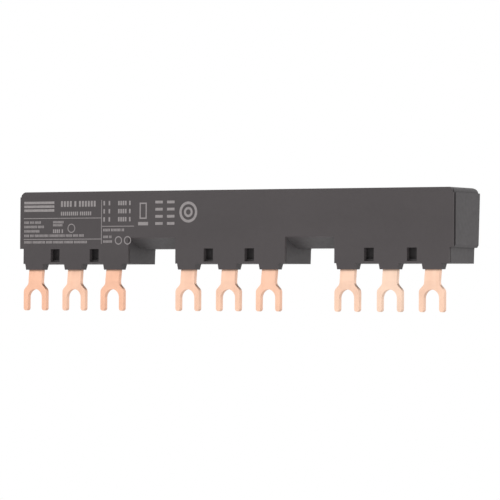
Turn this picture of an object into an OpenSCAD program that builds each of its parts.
// Three-phase comb busbar: an insulated bar with fork tongues that feeds three
// side-by-side motor starters.
//
// Frame: X along the bar, Y from the front face to the back, Z up. The origin is the
// centre of the middle tongue's slot root, on that tongue's front face. Inside each
// moulding Y is counted from the front face of the cover.

/* [Layout] */
// Distance between neighbouring starters, so between groups of tongues
device_pitch = 54; // [52:0.5:60]
// Distance between the three poles of one starter
pole_pitch = 14; // [13.6:0.1:15]
// How far the fork plane stands behind the cover's front face
fork_setback = 0.6; // [0.4:0.1:0.9]

/* [Tongues] */
// Thickness of the tongue strip
tongue_t = 1.4; // [1.2:0.1:1.5]
// Width of the stem
stem_w = 4.7; // [4.2:0.1:5]
// Width over the two prongs
fork_w = 8.1; // [7.6:0.1:8.6]
// Width of the slot that takes the terminal screw
slot_w = 5; // [4.4:0.1:5.2]
// Depth from the centre of the slot root to the prong tips
prong_reach = 3.9; // [3:0.1:6]
// Height of the 45 degree shoulders' lower ends above the slot root centre
shoulder_z = 2.3; // [2:0.1:2.8]
// Radius of the shoulder curves
shoulder_r = 1.5; // [0.8:0.1:1.6]
// Centreline radius of the bends
bend_r = 1.4; // [1:0.1:1.6]

/* [Bars] */
// Height of each flat bar
bar_h = 10.4; // [8:0.1:13]
// Thickness of the insulating sheets between the bars
separator_t = 0.8; // [0.5:0.1:1]
// Clearance between bar, sheet and tongue
stack_gap = 0.2; // [0.1:0.05:0.25]

/* [Housing] */
// Room between the bars and the roof
bar_room = 0.6; // [0.3:0.1:2]
// Underside of the front wall between the skirts
front_sill_z = 17.7; // [17:0.1:18]
// Underside of the back half between the skirts
rear_sill_z = 14.05; // [13.8:0.05:14.6]
// Underside of the two overhanging ends
end_sill_z = 14.5; // [14.2:0.05:15]
// Underside of the skirts
skirt_z = 10; // [9.8:0.1:10.2]
// Depth of the housing, front face to back
housing_d = 15.6; // [14.6:0.1:18]
// How much shallower the skirts are than the body
skirt_step = 0.8; // [0.5:0.05:1.2]
// Skirt, from the middle pole to its left side
skirt_left = 17.95; // [17.8:0.05:18.4]
// Skirt, from the middle pole to its right side
skirt_right = 19.7; // [18.4:0.1:20.4]
// Overhang of the body past the outer skirts
end_overhang = 1.3; // [1.2:0.1:3]
// Wall thickness
wall = 1.4; // [1.2:0.1:1.5]
// Height of the narrower strip along the top
top_strip_h = 1.5; // [1.4:0.1:2]
// Step from the narrower strip out to the full length, at each end
top_strip_step = 0.5; // [0.3:0.1:0.8]

/* [Collars and windows] */
// Collar width where it leaves the skirt
collar_w = 6.4; // [6.2:0.1:6.6]
// Collar width at its mouth
collar_mouth_w = 5.7; // [5.6:0.1:6]
// Collar depth where it leaves the skirt
collar_d = 3.3; // [3.2:0.1:3.4]
// Collar depth at its mouth
collar_mouth_d = 3; // [3:0.05:3.1]
// Height of the collar below the skirt
collar_h = 1.75; // [1.5:0.05:2.2]
// Window width
window_w = 3.2; // [2.4:0.1:4]
// How far the windows stand to the right of the middle between two poles
window_shift = 0.6; // [-1:0.1:1]
// Window height
window_h = 3.8; // [3:0.05:4]
// Strip of cover below each window
window_sill = 0.6; // [0.5:0.05:0.9]
// Depth of the frame round each window
window_depth = 1.5; // [1.3:0.1:1.9]

/* [Hidden] */
$fn = 64;
eps = 0.01;

// Groups of tongues, left to right, and the poles in each
group_a = -device_pitch;
group_b = 0;
group_c = device_pitch;
groups = [group_a, group_b, group_c];
poles = [-pole_pitch, 0, pole_pitch];

// Ends of the body
x_left = group_a - skirt_left - end_overhang;
x_right = group_c + skirt_right + end_overhang;
bar_z = front_sill_z + 1.4;
top_z = bar_z + bar_h + bar_room + wall;
step_z = top_z - top_strip_h;
corner_r = top_strip_h - 0.2;
skirt_d = housing_d - skirt_step;

// The cover meets the housing on this plane, just in front of the tongues
parting_y = 0.9;
seam_front_y = 0.3;
seam_back_y = 1.3;
seam_depth = 0.8;
edge_chamfer = 0.2;
end_chamfer_w = 0.45;
end_chamfer_h = 0.75;
top_chamfer_h = 1.2;
top_chamfer_d = 0.55;
cover_plug_y = 1.5;
cover_clearance = 0.1;
cover_step = 0.12;

// Sloping underside between the skirts
slope_end_y = 7.8;
floor_t = 1.3;
sill_slope = (front_sill_z - rear_sill_z) / slope_end_y;
back_draft = 0.7;
skirt_back_draft = 0.2;
back_top_r = 2;

// Inside of the housing
cavity_back_y = housing_d - 1.5;
cavity_top_z = top_z - wall;
skirt_floor_z = skirt_z + 1.2;
rib_w = 1.2;
rib_spread = (device_pitch - skirt_left - skirt_right) * 0.3;
window_back_y = 3.2;
window_back_t = 1.2;
windows = [-pole_pitch / 2 + window_shift, pole_pitch / 2 + window_shift];
separator_z = bar_z - 0.9;
collar_z = skirt_z - collar_h;
channel_clearance = 0.1;

// The stack, from the front: tongue and bar L3, sheet, tongue and bar L2, sheet, L1.
// The bars take up the depth that the tongues, sheets and clearances leave.
stack_y = cover_plug_y + stack_gap;
bar_t = (cavity_back_y - cover_plug_y - 3 * tongue_t - 2 * separator_t - 6 * stack_gap) / 3;
stack_step = tongue_t + bar_t + separator_t + 2 * stack_gap;
function bar_y(phase) = stack_y + tongue_t + (3 - phase) * stack_step;
function weld_y(phase) = bar_y(phase) - tongue_t;
function separator_y(phase) = bar_y(phase + 1) + bar_t + stack_gap;

// Front faces of each phase's tongue in the collar and at the fork
function collar_front(phase) = phase == 3 ? 0.5 : parting_y + 0.05;
function fork_front(phase) = phase == 3 ? 0 : fork_setback;

// Heights between which a tongue steps forward inside, and again below its collar
function step_top(phase) = bar_z - (phase == 3 ? 3 : 1.4);
function step_foot(phase) = skirt_floor_z + (phase == 3 ? 2.6 : 1.1);
fork_step_top = collar_z - 0.15;
fork_step_foot = collar_z - 3.3;

// --- helpers ---------------------------------------------------------------

// Extrudes an outline drawn in X and Z from y0 to y1
module along_y(y0, y1) {
    translate([0, y1, 0]) rotate([90, 0, 0]) linear_extrude(y1 - y0) children();
}

// Extrudes a profile drawn in Y and Z from x0 to x1
module along_x(x0, x1) {
    translate([x0, 0, 0]) rotate([90, 0, 90]) linear_extrude(x1 - x0) children();
}

module box(x, y, z) {
    translate([x[0], y[0], z[0]]) cube([x[1] - x[0], y[1] - y[0], z[1] - z[0]]);
}

// A path of [y, z] points with its inner corners rounded to radius r
function unit(v) = v / norm(v);
function corner(a, b, c, r, n = 6) =
    let (u = unit(a - b), v = unit(c - b),
         half = acos(u * v) / 2,
         centre = b + unit(u + v) * r / sin(half),
         start = b + u * r / tan(half) - centre,
         turn = 180 - 2 * half,
         side = sign(u[0] * v[1] - u[1] * v[0]))
    [for (i = [0:n]) let (t = -side * turn * i / n)
        centre + [start[0] * cos(t) - start[1] * sin(t), start[0] * sin(t) + start[1] * cos(t)]];
function rounded_path(p, r) = concat(
    [p[0]],
    [for (i = [1:len(p) - 2]) each corner(p[i - 1], p[i], p[i + 1], r)],
    [p[len(p) - 1]]);

// The same path moved sideways by d, and a strip of thickness t round it
function side_path(p, d) = [for (i = [0:len(p) - 1])
    let (a = p[max(i - 1, 0)], b = p[min(i + 1, len(p) - 1)], v = unit(b - a))
    p[i] + d * [-v[1], v[0]]];
function reversed(p) = [for (i = [len(p) - 1:-1:0]) p[i]];
module strip(p, t) {
    polygon(concat(side_path(p, t / 2), reversed(side_path(p, -t / 2))));
}

// --- outlines of the mouldings ---------------------------------------------

// Front view of the body and its skirts; grow widens or narrows the skirts
module front_outline(grow = 0) {
    translate([x_left, end_sill_z]) square([x_right - x_left, step_z - end_sill_z]);
    x0 = x_left + top_strip_step;
    x1 = x_right - top_strip_step;
    translate([x0, step_z - 1]) square([x1 - x0, top_z - corner_r - step_z + 1]);
    translate([x0 + corner_r, step_z]) square([x1 - x0 - 2 * corner_r, top_z - step_z]);
    for (x = [x0 + corner_r, x1 - corner_r]) translate([x, top_z - corner_r]) circle(corner_r);
    for (g = groups)
        translate([g - skirt_left - grow, skirt_z])
            square([skirt_left + skirt_right + 2 * grow, front_sill_z - skirt_z]);
}

// What the gaps between the skirts take away, with the sloping underside
module gap_cuts() {
    for (g = [group_a, group_b])
        along_x(g + skirt_right, g + device_pitch - skirt_left)
            polygon([[-1, skirt_z - 1], [-1, front_sill_z + sill_slope],
                     [slope_end_y, rear_sill_z], [housing_d + 1, rear_sill_z],
                     [housing_d + 1, skirt_z - 1]]);
}

// A collar round a tongue, tapered towards its mouth
module collar() {
    intersection() {
        along_y(0, collar_d)
            polygon([[-collar_w / 2, skirt_z + 1], [-collar_w / 2, skirt_z],
                     [-collar_mouth_w / 2, collar_z], [collar_mouth_w / 2, collar_z],
                     [collar_w / 2, skirt_z], [collar_w / 2, skirt_z + 1]]);
        along_x(-collar_w, collar_w)
            polygon([[0, skirt_z + 1], [0, collar_z], [collar_mouth_d, collar_z],
                     [collar_d, skirt_z], [collar_d, skirt_z + 1]]);
    }
}

// --- housing: a tray open to the front -------------------------------------

// Side profile of the whole tray, with draft on its back
module tray_profile() {
    polygon([[parting_y, skirt_z], [skirt_d - skirt_back_draft, skirt_z],
             [skirt_d, rear_sill_z], [housing_d - back_draft, rear_sill_z],
             [housing_d, top_z - back_top_r], [housing_d - back_top_r, top_z],
             [parting_y, top_z]]);
    translate([housing_d - back_top_r, top_z - back_top_r]) circle(back_top_r);
}

// Side profile of the bar chamber
module chamber_profile() {
    polygon([[0, front_sill_z + floor_t + 0.2], [slope_end_y, rear_sill_z + floor_t],
             [cavity_back_y, rear_sill_z + floor_t], [cavity_back_y, cavity_top_z],
             [0, cavity_top_z]]);
}

// A rib that carries the bars and holds the two sheets upright
module rib(x) {
    difference() {
        box([x - rib_w / 2, x + rib_w / 2], [cover_plug_y + 1, cavity_back_y + eps],
            [rear_sill_z + 1, bar_z]);
        gap_cuts();
        for (phase = [1, 2])
            box([x - rib_w, x + rib_w],
                [separator_y(phase) - stack_gap / 2, separator_y(phase) + separator_t + stack_gap / 2],
                [separator_z, bar_z + 1]);
    }
}

module tongue_channel(phase) {
    box([-stem_w / 2 - channel_clearance, stem_w / 2 + channel_clearance],
        [0, collar_front(phase) + tongue_t + channel_clearance],
        [collar_z - 1, skirt_floor_z + eps]);
}

// Seam groove and lower chamfer at the two ends
module end_cuts() {
    for (x = [x_left - 1, x_right - seam_depth])
        box([x, x + 1 + seam_depth], [0, seam_back_y], [0, top_z]);
    along_y(0, housing_d + 1) {
        polygon([[x_right - end_chamfer_w, end_sill_z], [x_right, end_sill_z + end_chamfer_h],
                 [x_right + 1, end_sill_z + end_chamfer_h], [x_right + 1, end_sill_z - 1],
                 [x_right - end_chamfer_w, end_sill_z - 1]]);
        polygon([[x_left + end_chamfer_w, end_sill_z], [x_left, end_sill_z + end_chamfer_h],
                 [x_left - 1, end_sill_z + end_chamfer_h], [x_left - 1, end_sill_z - 1],
                 [x_left + end_chamfer_w, end_sill_z - 1]]);
    }
}

// The wall behind a window
module window_back() {
    box([-window_w / 2 - 1.5, window_w / 2 + 1.5],
        [window_back_y, window_back_y + window_back_t],
        [skirt_floor_z - eps, skirt_z + window_sill + window_h + 1.5]);
}

module housing() {
    gap_mid = (skirt_right + device_pitch - skirt_left) / 2;
    color("#5c5c5e") translate([0, -fork_setback, 0]) {
        difference() {
            union() {
                intersection() {
                    along_y(parting_y, housing_d) front_outline();
                    along_x(x_left, x_right) tray_profile();
                }
                for (g = groups, p = poles) translate([g + p, 0, 0]) collar();
            }
            box([x_left, x_right], [-1, parting_y], [0, top_z]);
            gap_cuts();
            end_cuts();
            along_x(x_left + wall, x_right - wall) chamber_profile();
            for (g = groups) {
                box([g - skirt_left + wall, g + skirt_right - wall], [0, skirt_d - wall],
                    [skirt_floor_z, bar_z]);
                for (i = [0:2]) translate([g + poles[i], 0, 0]) tongue_channel(i + 1);
                for (x = windows) translate([g + x, 0, 0])
                    box([-window_w / 2 - 1 - cover_clearance, window_w / 2 + 1 + cover_clearance],
                        [0, window_depth + cover_clearance], [skirt_z - 1, skirt_floor_z + eps]);
            }
        }
        for (g = groups, x = windows)
            translate([g + x, 0, 0]) window_back();
        for (g = [group_a, group_b], s = [-1, 1]) rib(g + gap_mid + s * rib_spread);
        for (x = [x_left + wall + rib_w / 2, x_right - wall - rib_w / 2]) rib(x);
    }
}

// --- front cover -----------------------------------------------------------

module window_frame(grow, y1) {
    box([-window_w / 2 - grow, window_w / 2 + grow], [grow > 0 ? 0.2 : -1, y1],
        [grow > 0 ? skirt_z : skirt_z + window_sill,
         skirt_z + window_sill + window_h + grow]);
}

module front_cover() {
    color("#585455") translate([0, -fork_setback, 0])
        difference() {
            union() {
                // Plate, with its edges chamfered and a sunk seam at each end
                intersection() {
                    along_y(0, parting_y) front_outline(-cover_step);
                    along_x(x_left, x_right)
                        polygon([[0, skirt_z], [0, top_z - top_chamfer_h], [top_chamfer_d, top_z],
                                 [parting_y, top_z], [parting_y, skirt_z]]);
                    translate([0, 0, skirt_z]) linear_extrude(top_z - skirt_z)
                        polygon([[x_left + edge_chamfer, 0], [x_right - edge_chamfer, 0],
                                 [x_right, edge_chamfer], [x_right, seam_front_y],
                                 [x_right - seam_depth, seam_front_y],
                                 [x_right - seam_depth, parting_y],
                                 [x_left + seam_depth, parting_y],
                                 [x_left + seam_depth, seam_front_y],
                                 [x_left, seam_front_y], [x_left, edge_chamfer]]);
                }
                // Plug that centres the cover in the chamber's mouth
                box([x_left + wall + cover_clearance, x_right - wall - cover_clearance],
                    [parting_y - eps, cover_plug_y],
                    [front_sill_z + floor_t + 0.3, cavity_top_z - cover_clearance]);
                for (g = groups, x = windows)
                    translate([g + x, 0, 0]) window_frame(1, window_depth);
                intersection() {
                    box([x_left, x_right], [0, parting_y], [collar_z, skirt_z + 1]);
                    for (g = groups, p = poles) translate([g + p, 0, 0]) collar();
                }
            }
            gap_cuts();
            for (g = groups) {
                for (x = windows)
                    translate([g + x, 0, 0]) window_frame(0, window_depth + 1);
                // Recess for the frontmost tongue
                box([g + pole_pitch - stem_w / 2 - channel_clearance,
                     g + pole_pitch + stem_w / 2 + channel_clearance],
                    [collar_front(3) - 0.05, cover_plug_y], [collar_z - 1, front_sill_z]);
            }
        }
}

// --- copper ----------------------------------------------------------------

module busbar(phase) {
    color("#e8b493") translate([0, -fork_setback, 0])
        box([x_left + wall + 0.4, x_right - wall - 0.4],
            [bar_y(phase), bar_y(phase) + bar_t], [bar_z, bar_z + bar_h]);
}

// Front view of a tongue: stem, 45 degree shoulders, slot and round-ended prongs
module tongue_outline() {
    prong_w = (fork_w - slot_w) / 2;
    a = shoulder_r * tan(22.5);
    b = a / sqrt(2);
    stem_z = shoulder_z + (fork_w - stem_w) / 2;
    difference() {
        union() {
            translate([-stem_w / 2, 0]) square([stem_w, bar_z + bar_h - 1]);
            translate([-fork_w / 2, -prong_reach + prong_w / 2])
                square([fork_w, shoulder_z - a + prong_reach - prong_w / 2]);
            for (m = [0, 1]) mirror([m, 0]) {
                translate([(fork_w - prong_w) / 2, -prong_reach + prong_w / 2])
                    circle(prong_w / 2);
                translate([fork_w / 2 - shoulder_r, shoulder_z - a]) circle(shoulder_r);
                polygon([[0, shoulder_z - a], [fork_w / 2 - shoulder_r, shoulder_z - a],
                         [fork_w / 2 - b, shoulder_z + b], [stem_w / 2 + b, stem_z - b],
                         [stem_w / 2, stem_z + a], [0, stem_z + a]]);
            }
        }
        circle(slot_w / 2);
        translate([-slot_w / 2, -prong_reach - 1]) square([slot_w, prong_reach + 1]);
        for (m = [0, 1]) mirror([m, 0])
            translate([stem_w / 2 + shoulder_r, stem_z + a]) circle(shoulder_r);
    }
}

// Centreline of a tongue from its weld down to its tips, in Y and Z
function tongue_path(phase) =
    let (weld = weld_y(phase) + tongue_t / 2,
         mid = collar_front(phase) + tongue_t / 2,
         fork = fork_front(phase) + tongue_t / 2)
    [[weld, bar_z + bar_h], [weld, step_top(phase)], [mid, step_foot(phase)],
     [mid, fork_step_top], [fork, fork_step_foot], [fork, -prong_reach - 1]];

module tongue(group, phase) {
    color("#f0bd9c") translate([group + poles[phase - 1], -fork_setback, 0])
        intersection() {
            along_y(-1, housing_d) tongue_outline();
            along_x(-fork_w, fork_w) strip(rounded_path(tongue_path(phase), bend_r), tongue_t);
        }
}

// --- insulating sheets -----------------------------------------------------

module separator(phase) {
    color("#d9d4c4") translate([0, -fork_setback, 0])
        box([x_left + wall + 0.2, x_right - wall - 0.2],
            [separator_y(phase), separator_y(phase) + separator_t],
            [separator_z, cavity_top_z - 0.1]);
}

housing();
front_cover();
busbar(1);  // busbar_l1
busbar(2);  // busbar_l2
busbar(3);  // busbar_l3
separator(1);  // separator_l1_l2
separator(2);  // separator_l2_l3
tongue(group_a, 1);  // tongue_a_l1
tongue(group_a, 2);  // tongue_a_l2
tongue(group_a, 3);  // tongue_a_l3
tongue(group_b, 1);  // tongue_b_l1
tongue(group_b, 2);  // tongue_b_l2
tongue(group_b, 3);  // tongue_b_l3
tongue(group_c, 1);  // tongue_c_l1
tongue(group_c, 2);  // tongue_c_l2
tongue(group_c, 3);  // tongue_c_l3
